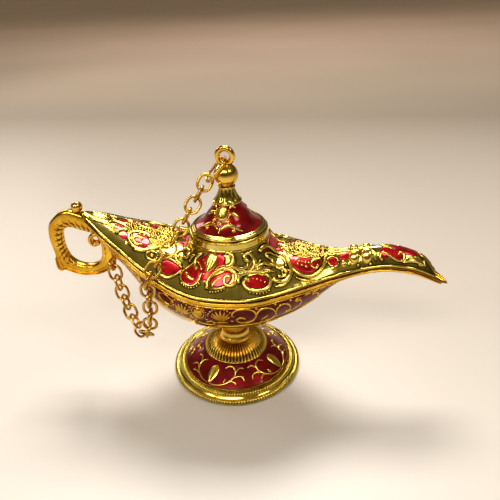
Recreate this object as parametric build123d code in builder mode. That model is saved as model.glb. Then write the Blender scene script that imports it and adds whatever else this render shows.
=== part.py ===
from build123d import *
from math import cos, cosh, pi, radians, sin, sqrt
import os

# Genie oil lamp of gilt brass and red enamel, all lengths in millimetres.
# The origin is the centre of the foot's underside, +X runs to the spout and +Z is up.

os.makedirs("parts", exist_ok=True)

# Body, a boat of two shells that meet along its rim
tail_reach = 52.9
spout_reach = 74.5
body_half_width = 23.9
hull_depth = 22.5
deck_rise = 7.0
rim_height = 45.0
tail_lift = 19.5
spout_lift = 3.4
body_wall = 1.2
lip_share = 0.025
hood_trim = 4.8
deck_tail_trim = 2.5
tip_overrun = 1.0
seam_gap = 0.12

# Shares of reach, half width, rim lift, hull depth and deck rise, from the middle to each tip
tail_shares = [
    (0.000, 1.000, 0.000, 1.000, 1.000),
    (0.189, 0.946, 0.026, 1.013, 1.000),
    (0.350, 0.833, 0.144, 1.022, 0.943),
    (0.473, 0.720, 0.287, 0.969, 0.771),
    (0.567, 0.615, 0.405, 0.800, 0.629),
    (0.662, 0.494, 0.538, 0.590, 0.486),
    (0.741, 0.393, 0.641, 0.480, 0.386),
    (0.826, 0.285, 0.769, 0.360, 0.286),
    (0.909, 0.159, 0.892, 0.187, 0.143),
    (1.000, 0.033, 1.000, 0.067, 0.086),
]
spout_shares = [
    (0.107, 0.975, 0.029, 0.956, 1.000),
    (0.228, 0.828, 0.118, 0.853, 0.943),
    (0.336, 0.611, 0.147, 0.700, 0.857),
    (0.416, 0.452, 0.176, 0.490, 0.786),
    (0.483, 0.335, 0.235, 0.300, 0.743),
    (0.550, 0.259, 0.412, 0.200, 0.740),
    (0.638, 0.209, 0.765, 0.178, 0.780),
    (0.725, 0.201, 1.000, 0.190, 0.714),
    (0.812, 0.201, 0.824, 0.190, 0.629),
    (0.886, 0.172, 0.235, 0.173, 0.471),
    (0.946, 0.121, -0.588, 0.129, 0.200),
]
spout_tip_shares = (1.000, 0.025, -1.412, 0.036, 0.014)
first_hollow_station = 2
round_share = 0.5523

# Mound under the lid and its opening
mound_rise = 11.7
mound_base_radius = 23.4
mound_hollow_share = 0.06
collar_radius = 13.4
collar_top_radius = 13.1
collar_height = 3.2
opening_radius = 10.6

# Enamel
enamel_depth = 0.45
enamel_gap = 0.05
deck_enamel_inner = 14.4
deck_enamel_outer = 18.6
panel_drop = 15.0
panel_height = 11.0
panel_reach = 28.0

# Lid
lid_gap = 0.1
flange_radius = 12.5
flange_height = 1.0
spigot_clearance = 0.3
spigot_wall = 1.1
spigot_depth = 3.0
cone_foot_radius = 11.7
cone_waist_radius = 7.3
cone_waist_rise = 4.0
cone_neck_radius = 4.5
cone_rise = 8.4
lid_wall = 1.1
neck_radius = 2.5
neck_rise = 5.3
hollow_top_radius = 2.6

# Finial
ball_radius = 4.0
ball_foot_radius = 2.1
eye_radius = 2.45
eye_wire = 1.9
eye_sink = 1.05
eye_turn = -96.0

# Foot, stem and the screw that holds them to the bowl
foot_radius = 24.6
foot_edge = 1.6
band_radius = 21.7
rope_radius = 20.6
rope_wire = 1.5
foot_cone_outer = 19.9
foot_cone_inner = 12.4
dome_radius = 12.1
stem_ring_radius = 5.1
stem_waist_radius = 3.5
stem_upper_radius = 4.3
boss_radius = 6.2
boss_height = 1.0
boss_gap = 0.1
flute_count = 56
flute_radius = 0.42
flute_depth = 0.22
flute_slant_share = 0.7
screw_radius = 1.4
screw_head_radius = 3.0
screw_head_height = 1.8
screw_slot = 0.8
screw_tip_height = 3.0
thread_clearance = 0.05
bore_clearance = 0.3
washer_radius = 3.8
washer_height = 0.6
pad_radius = 5.0
pad_rise = 1.9

# Heights of the foot and stem, as shares of the height of the stem's top
band_share = 0.135
rope_share = 0.163
cone_low_share = 0.191
cone_high_share = 0.428
seat_share = 0.386
dome_edge_share = 0.0465
dome_top_share = 0.67
ring_share = 0.121
groove_share = 0.0233
upper_ring_share = 0.13

# Handle, cast with the curl of leaf inside it
handle_front = 43.4
handle_length = 22.0
handle_drop = 5.5
handle_crown = 0.5
handle_width = 4.0
curl_band = 1.5
handle_outline_shares = [
    (-0.018, 0.549), (0.164, 0.804), (0.300, 0.918), (0.436, 0.965), (0.582, 1.000),
    (0.727, 0.973), (0.850, 0.894), (0.945, 0.804), (0.991, 0.686), (1.000, 0.502),
    (0.973, 0.294), (0.923, 0.059),
]
handle_sole_shares = [
    (0.923, 0.059), (0.840, 0.075), (0.714, 0.039), (0.468, 0.000), (0.191, 0.039),
    (0.000, 0.145), (-0.086, 0.294), (-0.018, 0.549),
]
handle_hole_shares = [
    (0.773, 0.608), (0.723, 0.706), (0.618, 0.745), (0.436, 0.705), (0.277, 0.668),
    (0.164, 0.608), (0.136, 0.490), (0.155, 0.365), (0.209, 0.239), (0.332, 0.165),
    (0.482, 0.145), (0.641, 0.188), (0.750, 0.314), (0.782, 0.471),
]
curl_shares = [
    (0.105, 0.365), (0.100, 0.470), (0.109, 0.545), (0.150, 0.620), (0.223, 0.640),
    (0.291, 0.605), (0.318, 0.549), (0.286, 0.495), (0.227, 0.480), (0.190, 0.515),
]
knob_radius = 2.0
knob_lift = 1.6
knob_place = 9.6

# Chain of oval links
link_length = 6.5
link_width = 5.4
link_wire = 0.95
jump_length = 10.4
jump_width = 6.4
jump_wire = 1.0
jump_lean = 43.0
jump_turn = 201.0
hook_gap = 0.3
link_slack = 1.0
run_links = 9
link_turn = 90.0
run_end_place = 23.6
run_end_width_share = 0.749
run_end_lift_share = 0.262
rim_link_gap = 2.9
run_sag = 0.8
run_turn = 45.0
run_shares = (0.0, 0.35, 0.7, 1.0)
loop_end_inset = 1.5
loop_end_clearance = 2.6
loop_end_rise = 6.1
link_pitch = 3.85
loop_drop = 23.5
loop_steepness = 1.8
loop_lean_share = 0.14
loop_samples = 12
lug_radius = 1.7
lug_wire = 1.2

# Levels that follow from the rim
keel_height = rim_height - hull_depth
pad_height = keel_height + pad_rise
stem_top = keel_height - boss_height
handle_foot = rim_height - handle_drop
handle_height = handle_drop + tail_lift + handle_crown
band_height = band_share * stem_top
rope_height = rope_share * stem_top
foot_cone_low = cone_low_share * stem_top
foot_cone_high = cone_high_share * stem_top
stem_seat = seat_share * stem_top
dome_edge = dome_edge_share * stem_top
dome_top = dome_top_share * stem_top
stem_ring_height = ring_share * stem_top
stem_groove = groove_share * stem_top
stem_upper_height = upper_ring_share * stem_top


def stations_of(shares, reach, lift):
    """Place, half width, rim height, hull depth and deck rise at each row of shares."""
    return [
        (reach * run, body_half_width * width, rim_height + lift * up, hull_depth * deep, deck_rise * rise)
        for run, width, up, deep, rise in shares
    ]


tail_stations = stations_of(tail_shares, -tail_reach, tail_lift)
spout_stations = stations_of(spout_shares, spout_reach, spout_lift)
spout_tip = stations_of([spout_tip_shares], spout_reach, spout_lift)
deck_stations = tail_stations[::-1] + spout_stations
bowl_stations = deck_stations + spout_tip
hollow_stations = deck_stations[first_hollow_station:]


def arch_section(station, inset, skirt):
    """Section of the deck: a parabola whose feet stand below the rim by the skirt."""
    place, half_width, rim, _, rise = station
    edge = half_width - inset
    foot = rim - skirt
    with BuildSketch(Plane.YZ.offset(place)) as section:
        with BuildLine():
            Bezier((-edge, foot), (0, 2 * (rim + rise - inset) - foot), (edge, foot))
            Line((edge, foot), (-edge, foot))
        make_face()
    return section.sketch


def hull_section(station, inset, overrun):
    """Section of the bowl: half an ellipse that hangs from the rim."""
    place, half_width, rim, depth, _ = station
    edge = half_width * (1 - lip_share) - inset
    top = rim + overrun
    keel = rim - depth + inset
    bend = top - round_share * (top - keel)
    with BuildSketch(Plane.YZ.offset(place)) as section:
        with BuildLine():
            Bezier((-edge, top), (-edge, bend), (-round_share * edge, keel), (0, keel))
            Bezier((0, keel), (round_share * edge, keel), (edge, bend), (edge, top))
            Line((edge, top), (-edge, top))
        make_face()
    return section.sketch


def beyond(inner, tip):
    """Point past the tip of the rim, in line with the last two stations."""
    stretch = tip_overrun / abs(tip[0] - inner[0])
    return (tip[0] + stretch * (tip[0] - inner[0]), tip[1] + stretch * (tip[1] - inner[1]))


def under_rim_section(place, rim):
    """Block below the rim, wider than the body, that trims the deck along the seam."""
    wide = body_half_width + tip_overrun
    low = rim_height - hull_depth
    with BuildSketch(Plane.YZ.offset(place)) as section:
        with BuildLine():
            Polyline((-wide, rim), (-wide, low), (wide, low), (wide, rim), close=True)
        make_face()
    return section.sketch


# Solids that the shells, the handle and the enamel share
with BuildPart() as hull_outside:
    loft([hull_section(station, 0, 0) for station in bowl_stations])

with BuildPart() as bowl_enamel:
    add(hull_outside.part)
    panel_floors = [hull_section(station, enamel_depth, tip_overrun) for station in bowl_stations[1:-1]]
    loft(panel_floors, mode=Mode.SUBTRACT)
    with BuildSketch(Plane.XY.offset(rim_height - panel_drop)):
        Rectangle(2 * panel_reach, 4 * body_half_width)
    extrude(amount=panel_height, mode=Mode.INTERSECT)

mound_top = rim_height + mound_rise
mound_low = rim_height + seam_gap
mound_hollow = mound_rise * mound_hollow_share


def mound_profile(inset, low, top):
    """Half-section of the mound, whose slope sinks a little between its ends."""
    slope = (mound_base_radius - collar_radius) / mound_rise
    outer = mound_base_radius + slope * (mound_low - low) - inset
    inner = collar_radius + slope * (mound_top - top) - inset
    middle = ((outer + inner) / 2 - mound_hollow, (low + top) / 2 - mound_hollow)
    with BuildSketch(Plane.XZ) as profile:
        with BuildLine():
            Bezier((outer, low), middle, (inner, top))
            Polyline((inner, top), (0, top), (0, low), (outer, low))
        make_face()
    return profile.sketch


with BuildPart() as deck_outside:
    loft([arch_section(station, 0, 0) for station in deck_stations])
    revolve(mound_profile(0, mound_low, mound_top), axis=Axis.Z)
    split(bisect_by=Plane.YZ.offset(deck_tail_trim - tail_reach), keep=Keep.TOP)

mound_slant = sqrt(1 + ((mound_base_radius - collar_radius) / mound_rise) ** 2)

with BuildPart() as deck_enamel:
    revolve(mound_profile(0, mound_low, mound_top), axis=Axis.Z)
    revolve(mound_profile(enamel_depth * mound_slant, mound_low - tip_overrun, mound_top), axis=Axis.Z,
            mode=Mode.SUBTRACT)
    with BuildSketch(Plane.XY.offset(mound_low)):
        Circle(deck_enamel_outer)
        Circle(deck_enamel_inner, mode=Mode.SUBTRACT)
    extrude(amount=mound_rise, mode=Mode.INTERSECT)

with BuildPart() as deck:
    add(deck_outside.part)
    loft([arch_section(station, body_wall, tip_overrun) for station in hollow_stations], mode=Mode.SUBTRACT)
    mound_inside = mound_profile(body_wall * mound_slant, mound_low - tip_overrun, mound_top - body_wall)
    revolve(mound_inside, axis=Axis.Z, mode=Mode.SUBTRACT)
    rims = [(station[0], station[2] + seam_gap) for station in deck_stations]
    rims = [beyond(rims[1], rims[0])] + rims + [beyond(rims[-2], rims[-1])]
    loft([under_rim_section(place, rim) for place, rim in rims], mode=Mode.SUBTRACT)
    with BuildSketch(Plane.XY.offset(mound_low)):
        Circle(opening_radius)
    extrude(amount=mound_rise + tip_overrun, mode=Mode.SUBTRACT)
    with BuildSketch(Plane.YZ.offset(spout_reach - hood_trim)):
        Rectangle(2 * body_half_width, 4 * rim_height)
    extrude(amount=spout_reach, mode=Mode.SUBTRACT)
    add(deck_enamel.part, mode=Mode.SUBTRACT)
deck.part.label = "deck"
export_step(deck.part, "parts/deck.step")
deck_enamel.part.label = "deck_enamel"
export_step(deck_enamel.part, "parts/deck_enamel.step")

# Bowl with its boss, its inner pad for the screw and the enamel panels of its flanks
boss_low = stem_top + boss_gap

bowl_enamel.part.label = "bowl_enamel"
export_step(bowl_enamel.part, "parts/bowl_enamel.step")

with BuildPart() as bowl:
    add(hull_outside.part)
    with BuildSketch(Plane.XY.offset(boss_low)):
        Circle(boss_radius)
    extrude(amount=pad_height - boss_low - body_wall)
    loft([hull_section(station, body_wall, tip_overrun) for station in hollow_stations], mode=Mode.SUBTRACT)
    with BuildSketch(Plane.XY.offset(pad_height - 2 * body_wall)):
        Circle(pad_radius)
    extrude(amount=2 * body_wall)
    with BuildSketch(Plane.XY.offset(boss_low)):
        Circle(screw_radius + bore_clearance)
    extrude(amount=pad_height - boss_low, mode=Mode.SUBTRACT)
    add(bowl_enamel.part, mode=Mode.SUBTRACT)
bowl.part.label = "bowl"
export_step(bowl.part, "parts/bowl.step")

# Collar round the opening
with BuildPart() as lid_collar:
    collar_low = mound_top + seam_gap
    collar_top = collar_low + collar_height - seam_gap
    with BuildSketch(Plane.XZ):
        with BuildLine():
            Polyline((opening_radius, collar_low), (collar_radius, collar_low),
                     (collar_top_radius, collar_top), (opening_radius, collar_top), close=True)
        make_face()
    revolve(axis=Axis.Z)
lid_collar.part.label = "lid_collar"
export_step(lid_collar.part, "parts/lid_collar.step")

# Lid: a flange on the collar, a spigot in it and a hollow cone that carries the enamel
lid_low = collar_top + lid_gap
cone_low = lid_low + flange_height
cone_high = cone_low + cone_rise
spigot_radius = opening_radius - spigot_clearance
lid_top = cone_high + neck_rise
cone_inset = enamel_depth + enamel_gap


def cone_points(inset):
    """Foot, waist and neck of the cone, moved in by the inset."""
    return [
        (cone_foot_radius - inset, cone_low),
        (cone_waist_radius - inset, cone_low + cone_waist_rise - inset / 2),
        (cone_neck_radius - inset, cone_high),
    ]


with BuildPart() as lid:
    with BuildSketch(Plane.XZ):
        with BuildLine():
            Spline(*cone_points(cone_inset))
            Polyline(cone_points(cone_inset)[-1], (cone_neck_radius, cone_high), (neck_radius, lid_top),
                     (0, lid_top), (0, cone_low), cone_points(cone_inset)[0])
        make_face()
        with BuildLine():
            Polyline((0, lid_low - spigot_depth), (spigot_radius, lid_low - spigot_depth),
                     (spigot_radius, lid_low), (flange_radius, lid_low), (flange_radius, cone_low),
                     (0, cone_low), close=True)
        make_face()
    revolve(axis=Axis.Z)
    with BuildSketch(Plane.XZ):
        with BuildLine():
            Polyline((0, lid_low - spigot_depth), (spigot_radius - spigot_wall, lid_low - spigot_depth),
                     (spigot_radius - spigot_wall, cone_low))
            Polyline((spigot_radius - spigot_wall, cone_low), cone_points(cone_inset + lid_wall)[1],
                     (hollow_top_radius, cone_high - lid_wall), (0, cone_high - lid_wall),
                     (0, lid_low - spigot_depth))
        make_face()
    revolve(axis=Axis.Z, mode=Mode.SUBTRACT)
lid.part.label = "lid"
export_step(lid.part, "parts/lid.step")

with BuildPart() as lid_enamel:
    with BuildSketch(Plane.XZ):
        with BuildLine():
            outer_cone = Spline(*cone_points(0))
            inner_cone = Spline(*cone_points(enamel_depth))
            Line(outer_cone @ 0, inner_cone @ 0)
            Line(outer_cone @ 1, inner_cone @ 1)
        make_face()
    revolve(axis=Axis.Z)
    with BuildSketch(Plane.XY.offset(cone_low + enamel_gap)):
        Circle(flange_radius)
    extrude(amount=cone_rise - 2 * enamel_gap, mode=Mode.INTERSECT)
lid_enamel.part.label = "lid_enamel"
export_step(lid_enamel.part, "parts/lid_enamel.step")

# Finial: ball and eye
ball_low = lid_top + seam_gap
ball_centre = ball_low + sqrt(ball_radius**2 - ball_foot_radius**2)
eye_centre = ball_centre + ball_radius - eye_sink + eye_radius + eye_wire / 2

with BuildPart() as finial_ball:
    with Locations((0, 0, ball_centre)):
        Sphere(ball_radius)
    split(bisect_by=Plane.XY.offset(ball_low), keep=Keep.TOP)
finial_ball.part.label = "finial_ball"
export_step(finial_ball.part, "parts/finial_ball.step")

eye_axis = Vector(1, 0, 0).rotate(Axis.Z, eye_turn)

with BuildPart() as finial_eye:
    with BuildSketch(Plane((0, 0, eye_centre), x_dir=(0, 0, 1), z_dir=eye_axis.cross(Vector(0, 0, 1)))):
        with Locations((-eye_radius, 0)):
            Circle(eye_wire / 2)
    revolve(axis=Axis((0, 0, eye_centre), eye_axis))
    with Locations((0, 0, ball_centre)):
        Sphere(ball_radius + seam_gap, mode=Mode.SUBTRACT)
finial_eye.part.label = "finial_eye"
export_step(finial_eye.part, "parts/finial_eye.step")

# Foot: a flat-bottomed casting with a bead round its edge and a rope ring inside the band
with BuildPart() as foot_base:
    cone_drop = enamel_depth + enamel_gap
    with BuildSketch(Plane.XZ):
        with BuildLine():
            Polyline((0, stem_seat), (0, 0), (foot_radius - foot_edge / 2, 0))
            Line((foot_radius - foot_edge / 2, 0), (foot_radius, foot_edge / 2))
            Polyline((foot_radius, foot_edge / 2), (foot_radius - foot_edge / 2, foot_edge),
                     (band_radius, band_height), (foot_cone_outer, foot_cone_low - cone_drop),
                     (foot_cone_inner, foot_cone_high - cone_drop), (foot_cone_inner, stem_seat),
                     (0, stem_seat))
        make_face()
    revolve(axis=Axis.Z)
    with BuildSketch(Plane.XZ):
        with Locations((rope_radius, rope_height)):
            Circle(rope_wire / 2)
    revolve(axis=Axis.Z)
    with BuildSketch(Plane.XY.offset(screw_tip_height)):
        Circle(screw_radius + thread_clearance)
    extrude(amount=stem_seat, mode=Mode.SUBTRACT)
foot_base.part.label = "foot_base"
export_step(foot_base.part, "parts/foot_base.step")

with BuildPart() as foot_enamel:
    rope_rim = rope_radius - rope_wire / 2 - enamel_gap
    cone_fall = (foot_cone_high - foot_cone_low) / (foot_cone_outer - foot_cone_inner)
    rim_rise = foot_cone_low + cone_fall * (foot_cone_outer - rope_rim)
    with BuildSketch(Plane.XZ):
        with BuildLine():
            Polyline((rope_rim, rim_rise), (foot_cone_inner, foot_cone_high),
                     (foot_cone_inner, foot_cone_high - enamel_depth), (rope_rim, rim_rise - enamel_depth),
                     close=True)
        make_face()
    revolve(axis=Axis.Z)
foot_enamel.part.label = "foot_enamel"
export_step(foot_enamel.part, "parts/foot_enamel.step")

# Stem: a fluted dome on the foot and two rings under the bowl
stem_low = stem_seat + boss_gap
dome_low = stem_low + dome_edge
dome_bow = (dome_radius + stem_ring_radius) / 2 + (dome_top - dome_low) / 4
dome_middle = (dome_bow, (dome_low + dome_top) / 2 + (dome_radius - stem_ring_radius) / 6)
ring_top = dome_top + stem_ring_height
upper_low = ring_top + stem_groove
upper_top = upper_low + stem_upper_height

flute_out = flute_radius - flute_depth
flute_bow = flute_out * flute_slant_share

with BuildPart() as flute:
    with BuildLine(Plane.XZ) as flute_path:
        ThreePointArc((dome_radius + flute_out, dome_low),
                      (dome_middle[0] + flute_bow, dome_middle[1] + flute_bow),
                      (stem_ring_radius + flute_radius, dome_top + flute_out))
    with BuildSketch(Plane(flute_path.line @ 0, z_dir=flute_path.line % 0)):
        Circle(flute_radius)
    sweep(path=flute_path.line)

with BuildPart() as fluted_stem:
    with BuildSketch(Plane.XZ):
        with BuildLine():
            Polyline((0, stem_low), (dome_radius, stem_low), (dome_radius, dome_low))
            dome_arc = ThreePointArc((dome_radius, dome_low), dome_middle, (stem_ring_radius, dome_top))
            Polyline((stem_ring_radius, dome_top), (stem_ring_radius, ring_top),
                     (stem_waist_radius, ring_top), (stem_waist_radius, upper_low),
                     (stem_upper_radius, upper_low), (stem_upper_radius, upper_top))
            Spline((stem_upper_radius, upper_top), (stem_waist_radius, (upper_top + stem_top) / 2),
                   (stem_upper_radius, stem_top))
            Polyline((stem_upper_radius, stem_top), (0, stem_top), (0, stem_low))
        make_face()
    revolve(axis=Axis.Z)
    with BuildSketch(Plane.XY.offset(stem_low)):
        Circle(screw_radius + bore_clearance)
    extrude(amount=stem_top - stem_low, mode=Mode.SUBTRACT)
    flutes = [flute.part.rotate(Axis.Z, 360 * turn / flute_count) for turn in range(flute_count)]
    add(flutes, mode=Mode.SUBTRACT)
fluted_stem.part.label = "fluted_stem"
export_step(fluted_stem.part, "parts/fluted_stem.step")

# Screw and washer, from inside the bowl
washer_low = pad_height + boss_gap
head_low = washer_low + washer_height + boss_gap

with BuildPart() as screw_washer:
    with BuildSketch(Plane.XY.offset(washer_low)):
        Circle(washer_radius)
        Circle(screw_radius + bore_clearance, mode=Mode.SUBTRACT)
    extrude(amount=washer_height)
screw_washer.part.label = "screw_washer"
export_step(screw_washer.part, "parts/screw_washer.step")

with BuildPart() as foot_screw:
    with BuildSketch(Plane.XY.offset(screw_tip_height + boss_gap)):
        Circle(screw_radius)
    extrude(amount=head_low - screw_tip_height - boss_gap)
    with BuildSketch(Plane.XY.offset(head_low)):
        Circle(screw_head_radius)
    extrude(amount=screw_head_height)
    with BuildSketch(Plane.XY.offset(head_low + screw_head_height / 2)):
        Rectangle(2 * screw_head_radius, screw_slot)
    extrude(amount=screw_head_height, mode=Mode.SUBTRACT)
foot_screw.part.label = "foot_screw"
export_step(foot_screw.part, "parts/foot_screw.step")

# Handle: a flat leaf with its hole and the curl inside, cut to sit on the tail of the body


def handle_points(shares):
    """Points of an outline from shares of the handle's length and height."""
    return [(-handle_front - handle_length * along, handle_foot + handle_height * up) for along, up in shares]


handle_plane = Plane(origin=(0, 0, 0), x_dir=(1, 0, 0), z_dir=(0, -1, 0))

with BuildPart() as handle:
    with BuildSketch(handle_plane):
        with BuildLine():
            Spline(*handle_points(handle_outline_shares))
            Spline(*handle_points(handle_sole_shares))
        make_face()
        with BuildLine():
            Spline(*handle_points(handle_hole_shares), periodic=True)
        make_face(mode=Mode.SUBTRACT)
        with BuildLine():
            Spline(*handle_points(curl_shares))
        trace(line_width=curl_band)
    extrude(amount=handle_width / 2, both=True)
    add(hull_outside.part, mode=Mode.SUBTRACT)
    add(deck_outside.part, mode=Mode.SUBTRACT)
handle.part.label = "handle"
export_step(handle.part, "parts/handle.step")

with BuildPart() as handle_knob:
    knob_seat = handle_foot + handle_height - handle_crown
    with Locations((-handle_front - knob_place, 0, knob_seat + knob_lift)):
        Sphere(knob_radius)
    split(bisect_by=Plane.XY.offset(knob_seat), keep=Keep.TOP)
handle_knob.part.label = "handle_knob"
export_step(handle_knob.part, "parts/handle_knob.step")

# Chain: a jump link in the eye, links down to the rim, a link on the rim and a loop to the lug


def oval_link(centre, along, across, length, width, wire):
    """Ring of round wire bent to an oval: two half turns joined by short straight runs."""
    bow = (width - wire) / 2
    straight = (length - width) / 2
    flat = Plane(centre, x_dir=along, z_dir=along.cross(across))
    with BuildPart() as link:
        with BuildLine(flat) as oval:
            Line((-straight, -bow), (straight, -bow))
            ThreePointArc((straight, -bow), (straight + bow, 0), (straight, bow))
            Line((straight, bow), (-straight, bow))
            ThreePointArc((-straight, bow), (-straight - bow, 0), (-straight, -bow))
        with BuildSketch(Plane(oval.line @ 0, z_dir=oval.line % 0)):
            Circle(wire / 2)
        sweep(path=oval.line)
    return link.part


def turned(side, along, turn):
    """The side direction turned about the link's own length."""
    return side * cos(radians(turn)) + along.cross(side) * sin(radians(turn))


jump_along = Vector(sin(radians(jump_lean)), 0, -cos(radians(jump_lean))).rotate(Axis.Z, jump_turn)
jump_across = Vector(0, 1, 0).rotate(Axis.Z, jump_turn)
jump_head = Vector(0, 0, eye_centre - eye_radius + (eye_wire + jump_wire) / 2 + hook_gap)
jump_centre = jump_head + jump_along * ((jump_length - jump_wire) / 2)
jump_link = oval_link(jump_centre, jump_along, jump_across, jump_length, jump_width, jump_wire)
jump_link.label = "jump_link"
export_step(jump_link, "parts/jump_link.step")

run_start = jump_centre + jump_along * ((jump_length + link_length) / 2 - jump_wire - link_wire - link_slack)
run_finish = Vector(-run_end_place, -run_end_width_share * body_half_width - rim_link_gap,
                    rim_height + run_end_lift_share * tail_lift)
run_chord = run_finish - run_start
run_side = Vector(0, 0, 1).cross(run_chord).normalized()


def write_link(name, centre, along, side, turn):
    """Write one chain link, its flat turned about its length from the side direction."""
    link = oval_link(centre, along, turned(side, along, turn), link_length, link_width, link_wire)
    link.label = name
    export_step(link, f"parts/{name}.step")


# The loop hangs from the rim link to the lug like any chain, its low point nearer the rim
lug_hook = Vector(loop_end_inset - handle_front, -handle_width / 2 - loop_end_clearance,
                  handle_foot + loop_end_rise)
loop_chord = lug_hook - run_finish
loop_side = Vector(0, 0, 1).cross(loop_chord).normalized()


def run_point(share):
    """Point of the run, sagging a little below its chord."""
    return run_start + run_chord * share - Vector(0, 0, 4 * run_sag * share * (1 - share))


def loop_point(share):
    """Point of the loop, hung below its chord by a chain's curve."""
    along = share - loop_lean_share * sin(pi * share)
    hang = (cosh(loop_steepness) - cosh(loop_steepness * (2 * share - 1))) / (cosh(loop_steepness) - 1)
    drop = loop_chord.Z * share - loop_drop * hang
    return run_finish + Vector(loop_chord.X * along, loop_chord.Y * along, drop)


rim_slope = (run_chord.normalized() + (loop_point(1 / loop_samples) - run_finish).normalized()).normalized()
run_slope = run_point(1 / run_links) - run_start
run_curve = Spline(*[run_point(share) for share in run_shares], tangents=[run_slope, rim_slope])
loop_points = [loop_point(step / loop_samples) for step in range(loop_samples + 1)]
loop_curve = Spline(*loop_points, tangents=[rim_slope, loop_points[-1] - loop_points[-2]])
hook_reach = (link_length - link_wire) / 2
run_pitch = run_curve.length / run_links
loop_count = round((loop_curve.length - hook_reach) / link_pitch)
loop_pitch = (loop_curve.length - hook_reach) / loop_count
print(f"run pitch {run_pitch:.2f}, loop of {loop_count} links at a pitch of {loop_pitch:.2f}")

for number in range(run_links + loop_count + 1):
    on_run = number < run_links
    reach = number * run_pitch if on_run else (number - run_links) * loop_pitch
    curve = run_curve if on_run else loop_curve
    centre = curve.position_at(reach, position_mode=PositionMode.LENGTH)
    along = curve.tangent_at(reach, position_mode=PositionMode.LENGTH)
    name = f"chain_link_{number + 1:02d}" if on_run else f"loop_link_{number - run_links:02d}"
    name = "chain_rim_link" if number == run_links else name
    in_loop = number > run_links
    side = loop_side if in_loop else run_side
    quarter_turns = number if in_loop else number + 1
    write_link(name, centre, along, side, run_turn + link_turn * quarter_turns)

# Lug: an eye pin in the handle's near face, whose ring the last link hangs from
loop_pull = (loop_curve % 1) * -1
lug_axis = Vector(0, 1, 0).cross(loop_pull).normalized()
lug_centre = lug_hook - loop_pull * (lug_radius - (lug_wire + link_wire) / 2 - hook_gap)

with BuildPart() as chain_lug:
    with BuildSketch(Plane(lug_centre, x_dir=(0, 1, 0), z_dir=lug_axis.cross(Vector(0, 1, 0)))):
        with Locations((lug_radius, 0)):
            Circle(lug_wire / 2)
    revolve(axis=Axis(lug_centre, lug_axis))
    with BuildSketch(Plane(lug_centre + Vector(0, lug_radius, 0), z_dir=(0, 1, 0))):
        Circle(lug_wire / 2)
    extrude(amount=-handle_width / 2 - seam_gap - lug_centre.Y - lug_radius)
chain_lug.part.label = "chain_lug"
export_step(chain_lug.part, "parts/chain_lug.step")
print("lug", lug_centre)

rim_pivot = (run_finish + loop_curve.position_at(loop_pitch, position_mode=PositionMode.LENGTH)) / 2
lug_pivot = lug_hook + loop_pull * (link_wire / 2)
print("loop hinge", rim_pivot, lug_pivot)
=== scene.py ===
"""Looks of a genie oil lamp of gilt brass and red enamel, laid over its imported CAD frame."""

import bmesh
import bpy
import numpy as np
from numpy import arange, array, asarray, clip, concatenate, cos, hypot, interp, linspace, maximum, minimum
from numpy import ones, pi, radians, sin, sqrt, stack, vstack
from numpy.linalg import norm
from mathutils import Matrix, Vector


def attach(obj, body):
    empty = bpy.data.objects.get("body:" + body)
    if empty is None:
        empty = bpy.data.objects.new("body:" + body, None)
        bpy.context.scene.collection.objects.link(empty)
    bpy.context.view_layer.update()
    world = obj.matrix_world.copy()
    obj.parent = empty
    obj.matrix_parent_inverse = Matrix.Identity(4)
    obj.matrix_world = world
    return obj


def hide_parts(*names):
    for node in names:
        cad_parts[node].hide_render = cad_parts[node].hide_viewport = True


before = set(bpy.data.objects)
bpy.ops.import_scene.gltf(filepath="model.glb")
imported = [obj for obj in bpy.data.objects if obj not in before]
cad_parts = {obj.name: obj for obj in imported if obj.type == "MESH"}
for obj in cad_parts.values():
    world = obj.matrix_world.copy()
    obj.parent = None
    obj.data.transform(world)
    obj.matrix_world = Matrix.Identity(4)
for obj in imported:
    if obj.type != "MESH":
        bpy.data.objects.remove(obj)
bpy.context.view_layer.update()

MM = 0.001
WELD = 1e-6


def pairs(numbers, unit=10):
    """A flat row of numbers as x and y pairs, given in tenths unless said."""
    return np.reshape(numbers, (-1, 2)) / unit


# Body stations from tail to spout: place, half width, rim height, hull depth and deck rise,
# each in thousandths of the lengths named here in mm
TAIL_REACH, SPOUT_REACH, HALF_WIDTH = 52.9, 74.5, 23.9
RIM, TAIL_LIFT, SPOUT_LIFT, DEPTH, RISE = 45.0, 19.5, 3.4, 22.5, 7.0
TAIL_SHARES = array([
    (1000, 33, 1000, 67, 86), (909, 159, 892, 187, 143), (826, 285, 769, 360, 286),
    (741, 393, 641, 480, 386), (662, 494, 538, 590, 486), (567, 615, 405, 800, 629),
    (473, 720, 287, 969, 771), (350, 833, 144, 1022, 943), (189, 946, 26, 1013, 1000),
    (0, 1000, 0, 1000, 1000),
]) / 1000
SPOUT_SHARES = array([
    (107, 975, 29, 956, 1000), (228, 828, 118, 853, 943), (336, 611, 147, 700, 857),
    (416, 452, 176, 490, 786), (483, 335, 235, 300, 743), (550, 259, 412, 200, 740),
    (638, 209, 765, 178, 780), (725, 201, 1000, 190, 714), (812, 201, 824, 190, 629),
    (886, 172, 235, 173, 471), (946, 121, -588, 129, 200), (1000, 25, -1412, 36, 14),
]) / 1000
STATIONS = vstack([
    TAIL_SHARES * (-TAIL_REACH, HALF_WIDTH, TAIL_LIFT, DEPTH, RISE) + (0, 0, RIM, 0, 0),
    SPOUT_SHARES * (SPOUT_REACH, HALF_WIDTH, SPOUT_LIFT, DEPTH, RISE) + (0, 0, RIM, 0, 0),
])
LIP_SHARE = 0.975
SEAM = 0.12
WALL, WALL_SHARE = 1.0, 0.35
DECK_TAIL, DECK_SPOUT = -50.4, 69.7
OPENING = 11.4
MOUND_FOOT, MOUND_TOP = (23.4, 45.12), (13.4, 56.7)
MOUND_HOLLOW, MOUND_BLEND, MOUND_SKIRT = 0.7, 1.4, 1.2

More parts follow.
